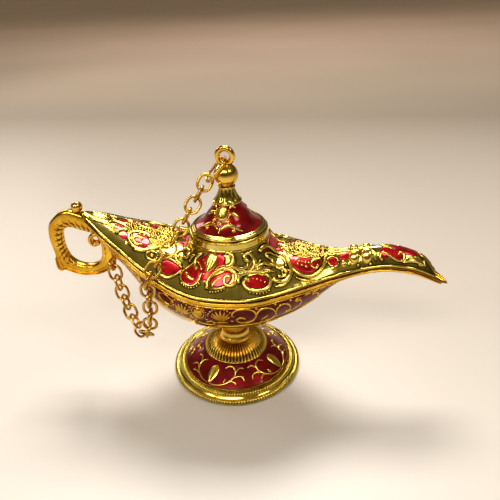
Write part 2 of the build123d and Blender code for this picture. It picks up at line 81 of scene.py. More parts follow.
# Lid cone and foot cone: radius and height pairs, in mm
CONE = array([(11.7, 61.0), (9.75, 62.2), (8.35, 63.5), (7.3, 65.0), (5.7, 67.0), (4.5, 69.4)])
CONE_ROUND, FLUTES = 8.0, 12
FOOT_OUTER, FOOT_INNER = (19.85, 4.1), (12.4, 9.2)
FOOT_ROUND, NOTCHES, RIBS, BORE = 16.0, 145, 56, 1.7
BEAD, ROPE = (23.4, 1.1), (21.05, 3.05)

# Relief laid on each surface, kept to shade the ground at its foot, and how far that shade reaches
LAID = {}
DECK_SHADE, HULL_SHADE = 0.9, 0.8
STRAND_SINK, BOSS_SINK, SLOPE_STEP = 0.25, 0.3, 0.02


# Curves and surfaces

def flow(places, rows, x):
    """Natural cubic spline: one tridiagonal system gives the second slopes of its spans."""
    places, rows, x = (asarray(a, float) for a in (places, rows, x))
    count, span = len(places), np.diff(places)
    system = np.eye(count)
    inner = arange(1, count - 1)
    system[inner, inner - 1], system[inner, inner + 1] = span[:-1], span[1:]
    system[inner, inner] = 2 * (span[:-1] + span[1:])
    slope = np.diff(rows, axis=0) / span[:, None]
    right = np.zeros_like(rows)
    right[1:-1] = 3 * (slope[1:] - slope[:-1])
    curve = np.linalg.solve(system, right)
    k = clip(np.searchsorted(places, x, side="right") - 1, 0, count - 2)
    t, h = (x - places[k])[..., None], span[k][..., None]
    first = slope[k] - h * (2 * curve[k] + curve[k + 1]) / 3
    return rows[k] + first * t + curve[k] * t**2 + (curve[k + 1] - curve[k]) / (3 * h) * t**3


def unit(vectors):
    """Vectors drawn out or in to length one."""
    return vectors / maximum(norm(vectors, axis=-1, keepdims=True), 1e-9)


def bezier(t, first, middle, last):
    """Quadratic Bezier curve from first to last, drawn towards the middle."""
    return (1 - t) ** 2 * first + 2 * t * (1 - t) * middle + t**2 * last


def round_ends(t, reach):
    """Share of the full width: it falls to nothing at both ends as a circle does."""
    return sqrt(clip(1 - (1 - minimum(minimum(t, 1 - t) / reach, 1)) ** 2, 0, 1))


def station(x):
    """Half width, rim height, hull depth and deck rise at x."""
    return np.moveaxis(flow(STATIONS[:, 0], STATIONS[:, 1:], x), -1, 0)


def mound(radius):
    """Height of the mound: a Bezier slope from foot to flat top, steep outside it."""
    foot, top = array(MOUND_FOOT), array(MOUND_TOP)
    t = linspace(0, 1, 120)[:, None]
    line = bezier(t, foot, (foot + top) / 2 - MOUND_HOLLOW, top)
    below = MOUND_FOOT[1] - MOUND_SKIRT * (radius - MOUND_FOOT[0])
    return np.where(radius > MOUND_FOOT[0], below, interp(radius, line[::-1, 0], line[::-1, 1]))


def deck_at(x, y):
    """Deck: a parabola across the rim, joined to the mound by a smooth maximum."""
    half, rim, _, rise = station(x)
    arch = rim + SEAM + rise * (1 - minimum(abs(y) / half, 1.0) ** 2)
    hill = mound(hypot(x, y))
    blend = maximum(1 - abs(arch - hill) / MOUND_BLEND, 0)
    return stack([x + 0 * y, y + 0 * x, maximum(arch, hill) + blend**2 * MOUND_BLEND / 4], -1)


def hull_at(x, drop):
    """Near side of the hull: an ellipse under the rim, with drop the way down it."""
    half, rim, depth, _ = station(x)
    turn = drop / ((half * LIP_SHARE + depth) / 2)
    return stack([x + 0 * turn, -half * LIP_SHARE * cos(turn), rim - depth * sin(turn)], -1)


def cone_at(around, height):
    """Lid cone: the way round it at a mean radius, and the height over its foot."""
    radius = flow(CONE[:, 1], CONE[:, :1], CONE[0, 1] + height)[..., 0]
    turn = around / CONE_ROUND
    return stack([radius * cos(turn), radius * sin(turn), CONE[0, 1] + height + 0 * turn], -1)


def foot_at(around, radius):
    """Foot cone: the way round it at a mean radius; its height falls with the radius."""
    turn = around / FOOT_ROUND
    height = interp(radius, (FOOT_INNER[0], FOOT_OUTER[0]), (FOOT_INNER[1], FOOT_OUTER[1]))
    return stack([radius * cos(turn), radius * sin(turn), height + 0 * turn], -1)


def body_core(point):
    """Line inside the body that its skin faces away from."""
    return stack([point[..., 0], 0 * point[..., 0], station(point[..., 0])[1] - 1.0], -1)


def axis_core(point):
    """Line on the lamp's upright axis, a little below each point."""
    return point * (0, 0, 1) - (0, 0, 6.0)


DECK, HULL = (deck_at, body_core), (hull_at, body_core)
LID, FOOT = (cone_at, axis_core), (foot_at, axis_core)


def lay(surface, u, v):
    """Points of a surface and its outward normals: the cross product of its two slopes."""
    at, core = surface
    u, v = np.broadcast_arrays(asarray(u, float), asarray(v, float))
    point = at(u, v)
    du = at(u + SLOPE_STEP, v) - at(u - SLOPE_STEP, v)
    dv = at(u, v + SLOPE_STEP) - at(u, v - SLOPE_STEP)
    normal = unit(np.cross(du, dv))
    side = np.sign(np.sum(normal * (point - core(point)), -1, keepdims=True))
    return point, normal * side


# Meshes

def net(rows, columns, wrap_rows=False, wrap_columns=False):
    """Four-sided faces of a grid, joined end to end where it wraps."""
    i = arange(rows if wrap_rows else rows - 1)[:, None]
    j = arange(columns if wrap_columns else columns - 1)[None, :]
    down, across = (i + 1) % rows, (j + 1) % columns
    corners = [i * columns + j, down * columns + j, down * columns + across, i * columns + across]
    return stack([c + 0 * (i + j) for c in corners], -1).reshape(-1, 4)


def patch(grid, painted_shading=1.0, **wrap):
    """A grid of points as a (points, faces, painted shade) part."""
    painted_shading = np.broadcast_to(painted_shading, grid.shape[:2]).reshape(-1)
    return grid.reshape(-1, 3), net(*grid.shape[:2], **wrap), painted_shading


def join(parts):
    """Several parts as one."""
    starts = np.cumsum([0] + [len(p[0]) for p in parts[:-1]])
    return (vstack([p[0] for p in parts]), vstack([p[1] + s for p, s in zip(parts, starts)]),
            concatenate([p[2] for p in parts]))


def placed(name, data):
    """An object of its own for a mesh, a light or a camera."""
    made = bpy.data.objects.new(name, data)
    bpy.context.scene.collection.objects.link(made)
    return made


def make(name, parts, finish, body="root", replaced=()):
    """One object from its parts: welded, faces outwards, its painted shade kept as an attribute."""
    points, faces, painted_shading = join(parts)
    mesh = bpy.data.meshes.new(name)
    mesh.from_pydata((points * MM).tolist(), [], faces.tolist())
    mesh.attributes.new("painted_shading", "FLOAT", "POINT").data.foreach_set("value", painted_shading.astype(np.float32))
    welded = bmesh.new()
    welded.from_mesh(mesh)
    bmesh.ops.remove_doubles(welded, verts=welded.verts, dist=WELD)
    bmesh.ops.recalc_face_normals(welded, faces=welded.faces)
    welded.to_mesh(mesh)
    welded.free()
    mesh.polygons.foreach_set("use_smooth", [True] * len(mesh.polygons))
    mesh.materials.append(finish)
    piece = placed(name, mesh)
    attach(piece, body)
    if replaced:
        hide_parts(*replaced)


def mirrored(part):
    """The same part on the far side of the ridge."""
    return part[0] * (1, -1, 1), part[1], part[2]


def both_sides(parts):
    """The parts and their mirror images."""
    return parts + [mirrored(p) for p in parts]


def turned(part, angle):
    """The part turned about the upright axis, in degrees."""
    c, s = cos(radians(angle)), sin(radians(angle))
    return part[0] @ array([(c, s, 0), (-s, c, 0), (0, 0, 1)]), part[1], part[2]


def lathe(profile, segments, ripple=None, closed=False):
    """A profile of radius and height turned about the upright axis, rippled and given painted shade if
    asked.
    """
    profile = asarray(profile, float)
    turn = circle(segments)
    radius, height, painted_shading = profile[:, :1] + 0 * turn, profile[:, 1:] + 0 * turn, 1.0
    if ripple is not None:
        radius, height, painted_shading = ripple(radius, height, turn)
    grid = stack([radius * cos(turn), radius * sin(turn), height], -1)
    return patch(grid, painted_shading, wrap_rows=closed, wrap_columns=True)


def smooth_line(points, count):
    """A spline through the points, spaced by the length of its chords."""
    points = asarray(points, float)
    chord = concatenate([[0], np.cumsum(norm(np.diff(points, axis=0), axis=1))])
    return flow(chord, points, linspace(0, chord[-1], count)), chord[-1]


def ridge(surface, line, width, height, shape="round", ends=None, step=0.33):
    """Raised strand along a line: across it the height is a half ellipse, a leaf with a sunk rib, or a
    flat band with round edges; its width falls to nothing at the ends as a circle does."""
    count = max(9, int(smooth_line(line, 9)[1] / step))
    t, path = linspace(0, 1, count), row(line, count)
    point, normal = lay(surface, path[:, 0], path[:, 1])
    side = unit(np.cross(normal, np.gradient(point, axis=0)))
    length = np.sum(norm(np.diff(point, axis=0), axis=1))
    if shape == "leaf":
        swell = sin(pi * t**0.8) ** 0.75
    else:
        reach = min(0.5, (ends or 0.5 * np.max(width)) / length)
        swell = round_ends(t, reach)
    wide = interp(t, linspace(0, 1, np.size(width)), np.atleast_1d(width)) * swell / 2
    LAID.setdefault(surface, []).append(np.column_stack([point, wide]))
    s = cos(linspace(pi, 0, 11 if shape == "leaf" else 7))
    crown = (1 - s**6) ** 0.5 if shape == "band" else sqrt(1 - s**2)
    if shape == "leaf":
        crown = crown * (1 - 0.6 * np.exp(-((s / 0.2) ** 2)))
    up = crown * height * sqrt(swell)[:, None]
    out = (s * wide[:, None])[..., None]
    top = point[:, None] + side[:, None] * out + normal[:, None] * up[..., None]
    keel = (point - normal * STRAND_SINK)[:, None]
    # Painted shade: full on the strand's crown, darker towards its sides, darkest at the keel.
    shade = concatenate([crown + 0 * up, np.zeros((len(t), 1))], 1)
    return patch(concatenate([top, keel], 1), shade, wrap_columns=True)


def strands(surface, rows, wide, tall):
    """Ridges from rows of width and places; wide and tall multiply the width."""
    return [ridge(surface, pairs(row[1:]), wide * (row[0] / 10), tall * (row[0] / 10)) for row in rows]


def rings(surface, rows):
    """Closed ridges from rows of the middle, half axes and width of each ellipse."""
    return [ridge(surface, ellipse((x, y), a, b), width, 0.6 * width, ends=0.01)
            for x, y, a, b, width in array(rows) / 10]


def leaves(surface, rows):
    """Leaves from rows of width, height and places."""
    return [ridge(surface, pairs(row[2:]), row[0] / 10, row[1] / 10, "leaf") for row in rows]


def fan(surface, row, width, height):
    """Leaves spread from the first place of a row to each of the others."""
    base, *tips = pairs(row)
    return [ridge(surface, [base, base + 0.5 * (tip - base), tip], width, height, "leaf") for tip in tips]


def grains(surface, places, radius, height=0.8):
    """Round beads: a small sphere, eight by five, set half into the surface at each place."""
    places = np.atleast_2d(asarray(places, float))
    point, normal = lay(surface, places[:, 0], places[:, 1])
    radius = np.broadcast_to(asarray(radius, float), len(places))
    LAID.setdefault(surface, []).append(np.column_stack([point, radius]))
    helper = np.where(abs(normal[:, :1]) < 0.9, (1.0, 0, 0), (0, 1.0, 0))
    across = unit(np.cross(normal, helper))
    along = np.cross(normal, across)
    lat = linspace(0, pi, 6)[:, None]
    lat, lon = lat + 0 * circle(8), circle(8) + 0 * lat
    ball = stack([sin(lat) * cos(lon), sin(lat) * sin(lon), height * cos(lat)], -1)
    axes = stack([across, along, normal], 1)
    spheres = point[:, None, None] + np.einsum("rcd,nde->nrce", ball, axes) * radius[:, None, None, None]
    faces = net(6, 8, wrap_columns=True)
    shift = arange(len(places))[:, None, None] * lat.size
    # Painted shade: each bead darker from its middle downwards, darkest underneath.
    shade = clip(0.35 + cos(lat), 0, 1).reshape(-1)
    return spheres.reshape(-1, 3), (faces[None] + shift).reshape(-1, 4), np.tile(shade, len(places))


def recess(surface, points, reach):
    """Shade of each point: 0 at the foot of the nearest relief, 1 at the reach and beyond."""
    laid = vstack(LAID[surface]).astype(np.float32)
    points = stack([points[:, 0], -abs(points[:, 1]), points[:, 2]], -1).astype(np.float32)
    near = [(norm(some[:, None] - laid[None, :, :3], axis=2) - laid[None, :, 3]).min(1)
            for some in np.array_split(points, len(points) // 1500 + 1)]
    return clip(concatenate(near) / reach, 0, 1)


def circle(count):
    """Angles spaced evenly round a circle, as one row."""
    return linspace(0, 2 * pi, count, endpoint=False)[None, :]


def row(line, count):
    """Places spaced evenly along a smooth line."""
    return smooth_line(line, count)[0]


def ellipse(centre, across, along, start=0.0, sweep=360.0, count=25):
    """Points of an ellipse or of part of it, angles in degrees."""
    angle = radians(linspace(start, start + sweep, count))
    return stack([centre[0] + across * cos(angle), centre[1] + along * sin(angle)], -1)


def oval(x, y, across, along, count=17):
    """Closed outline of an ellipse."""
    return ellipse((x, y), across, along, count=count)[:-1]


def boss(surface, outline, height, steps=6, power=0.5):
    """Cushion in a closed outline: each ring shrinks to the middle and rises as a power of the way in."""
    outline = asarray(outline, float)
    edge = row(vstack([outline, outline[:1]]), max(24, 4 * len(outline)))[:-1]
    middle = edge.mean(0)
    share = linspace(1, 0, steps)[:, None, None]
    plan = middle + (edge[None] - middle) * share
    point, normal = lay(surface, plan[..., 0], plan[..., 1])
    top = point + normal * (height * (1 - share**2) ** power)
    foot = point[:1] - normal[:1] * BOSS_SINK
    under = np.broadcast_to(foot.mean(1, keepdims=True), foot.shape)
    # Painted shade: darkest under and at the foot of the cushion, half at its edge, full at its top.
    painted_shading = concatenate([[0, 0], 0.5 + 0.5 * (1 - share[:, 0, 0] ** 2)])
    return patch(concatenate([under, foot, top], 0), painted_shading[:, None], wrap_columns=True)


def shell(outer, inner, keep=None, shade=None):
    """Closed wall between two grids, with a strip along every edge of what is kept."""
    rows, columns = outer.shape[:2]
    keep = ones((rows - 1, columns - 1), bool) if keep is None else keep
    faces, under = net(rows, columns)[keep.reshape(-1)], rows * columns
    number = arange(rows * columns).reshape(rows, columns)
    padded = np.pad(keep, 1)
    strips = []
    across = padded[1:, 1:-1] != padded[:-1, 1:-1]
    down = padded[1:-1, 1:] != padded[1:-1, :-1]
    for edge, first, second in ((across, number[:, :-1], number[:, 1:]), (down, number[:-1], number[1:])):
        a, b = first[edge], second[edge]
        strips.append(stack([a, b, b + under, a + under], -1))
    points = concatenate([outer.reshape(-1, 3), inner.reshape(-1, 3)])
    used = vstack([faces, faces[:, ::-1] + under, *strips])
    kept, packed = np.unique(used, return_inverse=True)
    # Painted shade, when given, on the outer grid; the inner grid stays unshaded.
    painted_shading = ones(len(points))
    if shade is not None:
        painted_shading[:under] = shade
    return points[kept], packed.reshape(used.shape), painted_shading[kept]


# Finishes

class Finish:
    """The nodes of a material, or of the sky, built step by step."""

    def __init__(self, owner, place="Object"):
        owner.use_nodes = True
        self.owner, self.tree = owner, owner.node_tree
        self.place = self.node("TexCoord").outputs[place]

    def put(self, socket, value):
        if isinstance(value, bpy.types.NodeSocket):
            self.tree.links.new(value, socket)
        else:
            socket.default_value = value

    def fill(self, node, inputs):
        for key, value in inputs.items():
            self.put(node.inputs[key.replace("_", " ")], value)
        return node

    def node(self, kind, **inputs):
        return self.fill(self.tree.nodes.new("ShaderNode" + kind), inputs)

    def shader(self, name="Principled BSDF", **inputs):
        """Settings of the shader itself; returns the finished material."""
        self.fill(self.tree.nodes[name], inputs)
        return self.owner

    def noise(self, size, detail=4.0):
        """Noise whose features are about this many mm across."""
        return self.node("TexNoise", Vector=self.place, Scale=1 / (size * MM), Detail=detail).outputs["Fac"]

    def ramp(self, value, stops):
        """Colours, or greys given as one number, at places from 0 to 1."""
        made = self.node("ValToRGB", Fac=value)
        points = made.color_ramp.elements
        while len(points) < len(stops):
            points.new(0.5)
        for point, (at, colour) in zip(points, stops):
            point.position = at
            point.color = (*colour, 1) if isinstance(colour, tuple) else (colour,) * 3 + (1,)
        return made.outputs["Color"]

    def mix(self, share, first, second, blend="MIX"):
        made = self.tree.nodes.new("ShaderNodeMix")
        made.data_type, made.blend_type = "RGBA", blend
        for socket, value in zip((made.inputs[0], *made.inputs[6:8]), (share, first, second)):
            self.put(socket, value)
        return made.outputs[2]

    def times(self, first, second):
        return self.mix(1.0, first, second, "MULTIPLY")

    def bump(self, height, strength, distance, **under):
        under.update(Height=height, Strength=strength, Distance=distance * MM)
        return self.node("Bump", **under).outputs["Normal"]


def gilding(name, light, deep, rough, ripple=0.35, grain=0.0, painted_shading=True):
    """Gold plate: two golds in patches, with painted shade at the foot of relief, and with ripples and
    specks.
    """
    f = Finish(bpy.data.materials.new(name))
    patches = f.ramp(f.noise(5.0), [(0.35, deep), (0.62, light)])
    specks = f.ramp(f.noise(0.5, 2.0), [(0.3, 0.8), (0.6, 1.0)])
    colour = f.mix(0.48, patches, f.times(patches, specks))
    if painted_shading:
        # Painted shade: the colour is darkened by a ramp of the per-point shade attribute, to a dark gold
        # at the foot of relief.
        relief = f.node("Attribute")
        relief.attribute_name = "painted_shading"
        foot = tuple(0.3 * c for c in deep)
        colour = f.times(colour, f.ramp(relief.outputs["Fac"], [(0.05, foot), (0.62, 1.0)]))
    waves = f.bump(f.noise(2.6, 1.0), ripple, 0.10)
    dull = f.node("MapRange", Value=f.noise(1.6), To_Min=rough[0], To_Max=rough[1]).outputs["Result"]
    return f.shader(Base_Color=colour, Metallic=1.0, Roughness=dull,
                    Normal=f.bump(f.noise(0.35, 3.0), 0.18 + grain, 0.03 + 0.05 * grain, Normal=waves))


def enamel(name, bright, deep, glow=0.55, coat=0.8):
    """Clear red enamel over metal: tinted patches and tiny bubbles under a glossy coat."""
    f = Finish(bpy.data.materials.new(name))
    patches = f.ramp(f.noise(3.2), [(0.32, deep), (0.66, bright)])
    bubbles = f.ramp(f.noise(0.28, 2.0), [(0.42, 0.72), (0.56, 1.0)])
    return f.shader(Base_Color=f.mix(0.6, patches, f.times(patches, bubbles)), Metallic=glow,
                    Roughness=0.3, Specular_IOR_Level=0.1, Coat_Weight=coat, Coat_Roughness=0.04,
                    Coat_IOR=1.35, Normal=f.bump(f.noise(0.9, 2.0), 0.25, 0.05),
                    Coat_Normal=f.bump(f.noise(3.5, 1.0), 0.10, 0.08))


# Each gold: light and deep patches, range of roughness, ripples and grain; each red: bright and deep
bright_gilt = gilding("bright_gilt", (0.92, 0.68, 0.15), (0.76, 0.5, 0.07), (0.14, 0.26))
plain_gilt = gilding("plain_gilt", (0.72, 0.54, 0.11), (0.52, 0.38, 0.06), (0.08, 0.18), 0.5)
warm_gilt = gilding("warm_gilt", (0.88, 0.52, 0.05), (0.62, 0.31, 0.02), (0.14, 0.26), 0.4, 0.1)
ball_gilt = gilding("ball_gilt", (0.82, 0.52, 0.09), (0.62, 0.36, 0.04), (0.1, 0.18), 0.4, painted_shading=False)
stem_gilt = gilding("stem_gilt", (0.8, 0.52, 0.09), (0.6, 0.36, 0.04), (0.2, 0.3), 0.3, 0.1)
chain_gilt = gilding("chain_gilt", (0.74, 0.44, 0.07), (0.48, 0.25, 0.03), (0.16, 0.3), 0.3, painted_shading=False)
screw_brass = gilding("screw_brass", (0.75, 0.56, 0.22), (0.55, 0.4, 0.14), (0.25, 0.4), 0.2, painted_shading=False)
deck_red = enamel("deck_red", (0.6, 0.002, 0.01), (0.2, 0.001, 0.003))
hull_red = enamel("hull_red", (0.15, 0.002, 0.001), (0.05, 0.001, 0.001), glow=0.35, coat=0.3)
lid_red = enamel("lid_red", (0.34, 0.002, 0.003), (0.13, 0.001, 0.001))
foot_red = enamel("foot_red", (0.22, 0.002, 0.002), (0.09, 0.001, 0.001))


# Deck

def deck_shell():
    """Upper shell: the deck grid and the same grid one wall further in, open under the collar."""
    x = linspace(DECK_TAIL, DECK_SPOUT, 420)[:, None]
    across = sin(linspace(-1, 1, 111) * pi / 2)[None, :]
    half = station(x)[0]
    point, normal = lay(DECK, x + 0 * across, half * across * 0.9995)
    wall = minimum(WALL, WALL_SHARE * half)[..., None]
    centre = (point[1:, 1:] + point[:-1, :-1]) / 2
    keep = hypot(centre[..., 0], centre[..., 1]) > OPENING
    # Painted shade on the deck ground near the foot of the relief laid on it.
    shade = recess(DECK, point.reshape(-1, 3), DECK_SHADE)
    make("deck_shell", [shell(point, point - normal * wall, keep, shade)], plain_gilt, replaced=["deck"])


# All rows are in tenths of a mm. Enamel fields of the deck: x and y of each point
FIELDS = {
    "curl": (-39, -199, -39, -186, -24, -176, 4, -169, 29, -170, 32, -182, 14, -196, -14, -204),
    "oval": (64, -176, 90, -159, 122, -147, 140, -154, 143, -172, 122, -186, 90, -190, 72, -188),
    "teardrop": (-142, -139, -174, -120, -204, -119, -210, -144, -186, -166, -158, -154),
    "leaf": (-86, -129, -46, -126, 1, -130, 9, -152, -20, -166, -48, -183, -70, -180, -82, -154),
    "collar": (103, -96, 136, -42, 141, 0, 184, -6, 186, -26, 154, -44, 124, -74),
    "cup": (202, -52, 226, -44, 270, -48, 314, -44, 302, -78, 270, -102, 240, -102, 214, -82),
    "hood": (502, -26, 520, -2, 560, 0, 605, 0, 640, -6, 622, -20, 592, -26, 570, -37, 540, -34, 516, -36),
    "tail": (-264, -52, -284, -30, -310, -29, -326, -50, -324, -76, -302, -88, -274, -86),
    "bud": (-397, -12, -376, -8, -362, -24, -376, -41, -392, -36),
    "small": (-369, -63, -356, -44, -338, -40, -336, -56, -344, -72),
    "shoulder": (-135, -46, -164, -40, -172, -14, -142, -6),
    "drop": (372, -35, 384, -20, 408, -14, 408, -27, 390, -38),
}
# Scrollwork of the deck: width, then x and y of each point
DECK_STRANDS = (
    (8.5, 87, -179, 77, -173, 68, -180, 75, -192, 97, -198, 124, -195, 147, -179, 153, -159, 144, -143, 122,
     -139, 94, -150, 65, -164, 51, -179, 53, -190),
    (8.5, -47, -206, -47, -187, -29, -172, 4, -161, 30, -162, 43, -173, 41, -188, 24, -197, 8, -192, 8,
     -181, 20, -177, 26, -184),
    (5, -34, -202, -18, -186, 2, -180),
    (9, -1, -166, 19, -163, 42, -169, 70, -162, 91, -143, 96, -124, 87, -115, 73, -118, 66, -128, 72, -133,
     82, -127),
    (8.5, 19, -156, 42, -157, 67, -151, 80, -137),
    (8, 130, -88, 150, -83, 163, -98, 181, -109, 195, -100),
    (10, 110, -94, 122, -68, 153, -43, 182, -44, 203, -66, 215, -98, 210, -132, 187, -153, 156, -151),
    (5, 128, -88, 146, -63, 174, -59, 193, -78, 199, -98),
    (6, 172, -138, 196, -132, 201, -116, 190, -106, 178, -114),
    (9, 187, -18, 197, -58, 214, -92, 240, -111, 273, -110, 305, -89, 325, -55, 330, -26),
    (6, 314, -40, 294, -49, 282, -63, 286, -78, 300, -76, 300, -64),
    (8, -248, -84, -274, -95, -306, -94, -332, -73, -338, -45, -322, -23, -292, -19, -270, -34),
    (7.5, -282, -72, -304, -80, -320, -66, -314, -50, -298, -48, -294, -60),
    (9, -310, -100, -280, -100, -252, -87, -224, -67, -200, -62),
    (6, -140, -145, -158, -161, -184, -175, -214, -160, -218, -136),
    (6, -142, -135, -174, -114, -206, -113, -219, -132),
    (8, -70, -121, -92, -123, -95, -136, -85, -152),
    (12, 3, -135, 21, -133, 32, -143, 22, -155, 5, -158),
    (5.5, 519, -39, 507, -34, 512, -25, 527, -26, 546, -34, 566, -39, 584, -34, 582, -23, 569, -22, 566,
     -30),
    (10, -378, -58, -376, -46, -364, -33, -345, -32),
    (7, -418, -22, -406, -6, -378, -2, -356, -14),
    (4, 616, -30, 624, -21, 638, -22, 640, -30),
    (4, 630, -36, 646, -33, 654, -25, 649, -18),
    (7, -198, -104, -170, -97, -156, -86),
    (9, -145, -125, -167, -108, -170, -80, -150, -60, -128, -76, -124, -96, -136, -98, -142, -88),
    (6, 334, -4, 362, -10, 390, -6, 414, -10),
)
# Rings of the deck: middle, two half axes and width
DECK_RINGS = (
    (-106, -160, 35, 31, 7),
    (353, -45, 18, 15, 5.5),
    (-246, -110, 19, 16, 6),
    (347, -13, 16, 10, 5),
    (200, -119, 14, 11, 5.5),
    (246, -16, 20, 13, 5.5),
    (292, -20, 16, 11, 5),
    (-230, -24, 18, 14, 5.5),
)
# Leaves of the deck: width, height, then x and y of each point
DECK_LEAVES = (
    (42, 8, -31, -128, -38, -146, -53, -168),
    (13, 6, -28, -166, 0, -159, 34, -158),
    (13, 6, 30, -156, 56, -159, 90, -152),
    (20, 6, 578, -42, 608, -32, 660, -30),
    (17, 4.5, 636, -3, 666, -9, 694, -26),
    (10, 4, 510, -3, 534, -7, 560, -15),
    (12, 5, -438, -34, -412, -28, -386, -48),
    (14, 5, -486, -14, -460, -24, -432, -30),
    (13, 5, -480, -2, -450, -6, -420, -6),
    (13, 5, 124, -114, 144, -102, 170, -104),
    (9, 4, 126, -130, 150, -122, 168, -126),
    (11, 5, 164, -22, 182, -10, 210, -14),
    (12, 5, -120, -120, -114, -110, -94, -114),
    (10, 5, 216, -44, 246, -34, 282, -42),
    (15, 5, 474, -16, 488, -26, 494, -40),
    (9, 4, 166, -174, 194, -159, 216, -136),
    (8, 4, 230, -126, 264, -124, 296, -110),
)


def deck_fields():
    """Enamel fields: low cushions inside their outlines."""
    outlines = [pairs(field) for field in FIELDS.values()]
    outlines += [oval(35.3, -4.5, 1.5, 1.2, 13), oval(-10.6, -16.0, 3.1, 2.7)]
    parts = [boss(DECK, outline, 0.16, steps=8) for outline in outlines]
    make("deck_enamel_fields", both_sides(parts), deck_red, replaced=["deck_enamel"])


def deck_scrolls():
    """Scrollwork: round strands along plan lines of the deck."""
    parts = strands(DECK, DECK_STRANDS, 1.45, 0.8) + rings(DECK, DECK_RINGS)
    parts.append(ridge(DECK, pairs((-126, -146, -116, -164, -92, -174)), 0.9, 0.45))
    make("deck_scrollwork", both_sides(parts), bright_gilt)


def deck_leaves():
    """Leaves, fans and domes of the deck."""
    parts = leaves(DECK, DECK_LEAVES)
    spread = (97, -148, 102, -114, 119, -104, 137, -99, 151, -108, 156, -123, 150, -138)
    parts += fan(DECK, spread, 1.2, 0.55)
    domes = [(423, -27, 20, 18, 12), (464, -26, 20, 18, 11), (444, -2, 15, 9, 5), (388, -47, 9, 8, 6),
             (352, -64, 9, 8, 6), (-338, -85, 8, 7, 5)]
    parts += [boss(DECK, oval(*place), height) for *place, height in array(domes) / 10]
    make("deck_leaves", both_sides(parts), bright_gilt)


def deck_grains():
    """Rows of beads, and grounds of beads on a jittered lattice."""
    random = np.random.default_rng(7)
    rows = [
        (34, 6, -36, -212, -16, -213, 8, -206), (36, 7, 90, -205, 112, -205, 132, -200, 150, -188),
        (34, 8, -134, -186, -116, -196, -94, -196, -76, -188), (42, 5, 230, -64, 250, -66, 272, -66),
        (45, 3, 236, -78, 264, -82), (30, 5, -66, -136, -56, -154, -62, -168),
        (30, 5, 84, -169, 116, -162, 134, -166),
    ]
    parts = [grains(DECK, row(pairs(places), count), radius / 100) for radius, count, *places in rows]
    parts.append(grains(DECK, pairs((199, -116, -246, -110, 246, -16, 347, -13, -230, -24)), 0.75))
    lone = (133, -86, 145, -80, -190, -56, -96, -124, 436, -47, 406, -46, 476, -44)
    parts.append(grains(DECK, pairs(lone), 0.5))
    step, jitter = 0.92, 0.22
    for low, high, wide in ((-37.0, -18.0, 7.6), (17.0, 32.5, 5.4)):
        x, y = np.meshgrid(arange(low, high, step), arange(0.3, wide, step))
        x = x + (arange(x.shape[0])[:, None] % 2) * step / 2
        places = stack([x, -y], -1).reshape(-1, 2) + random.uniform(-jitter, jitter, (x.size, 2))
        along, across = places.T
        taper = wide * sqrt(clip(1 - ((2 * along - low - high) / (high - low)) ** 2, 0, 1))
        inside = (abs(across) < taper) & (hypot(along, across) > 15.0)
        for name in ("tail", "cup", "collar", "small", "bud"):
            box = pairs(FIELDS[name])
            inside &= ~np.all((places > box.min(0)) & (places < box.max(0)), 1)
        places = places[inside]
        parts.append(grains(DECK, places, random.uniform(0.32, 0.52, len(places))))
    make("deck_beads", both_sides(parts), bright_gilt)


def deck_edge():
    """Rolled edge of the deck: a round strand along each side of its rim."""
    x = linspace(DECK_TAIL + 1, DECK_SPOUT - 0.6, 60)
    line = stack([x, -station(x)[0] * 0.992], -1)
    make("deck_rolled_edge", both_sides([ridge(DECK, line, 0.8, 0.25, step=0.4)]), plain_gilt)


# Hull

def bowl_shell():
    """Lower shell: half ellipses under the rim with a painted shadow along both rims and painted shade at
    the foot of relief, and the same one wall in.
    """
    x = linspace(-TAIL_REACH, SPOUT_REACH - 0.05, 400)[:, None]
    share = linspace(0, 1, 91)[None, :]
    half, _, depth, _ = station(x)
    quarter = pi / 2 * (half * LIP_SHARE + depth) / 2
    drop = 2 * quarter * share
    point, normal = lay(HULL, x + 0 * share, drop)
    wall = minimum(WALL, WALL_SHARE * minimum(half, depth))[..., None]
    # Painted shadow: a dark strip along each rim, where the deck's edge overhangs the seam.
    seam = interp(minimum(drop, 2 * quarter - drop), (0.9, 1.3), (0.0, 1.0)).reshape(-1)
    shade = recess(HULL, point.reshape(-1, 3), HULL_SHADE) * seam
    make("bowl_shell", [shell(point, point - normal * wall, shade=shade)], warm_gilt, replaced=["bowl"])


def bowl_band():
    """Rim band of the bowl and the bead line under it."""
    widths = [0.5, 1.5, 1.6, 1.6, 1.5, 1.1, 0.9, 0.6, 0.3]
    band, line = linspace(-50.5, 72.5, 70), linspace(-46, 44, 50)
    parts = [ridge(HULL, stack([band, 0 * band + 1.75], -1), widths, 0.45, "band", step=0.45),
             ridge(HULL, stack([line, 0 * line + 3], -1), 0.45, 0.3, step=0.45)]
    make("bowl_rim_band", both_sides(parts), warm_gilt)


def bowl_fields():
    """Enamel belt of the hull: a long cushion from the bead line to the lower scrolls."""
    start, end, top, bottom = -29.0, 37.0, 3.4, 13.6
    x = linspace(start, end, 150)[:, None]
    share = linspace(0, 1, 14)[None, :]
    swell = sqrt(clip(1 - ((2 * x - start - end) / (end - start)) ** 4, 0, 1))
    point, normal = lay(HULL, x + 0 * share, top + (bottom - top) * share * swell)
    lift = 0.14 * sin(pi * share)[..., None] * swell[..., None] + 0.02
    parts = [shell(point + normal * lift, point - normal * 0.3)]
    make("bowl_enamel_belt", both_sides(parts), hull_red, replaced=["bowl_enamel"])


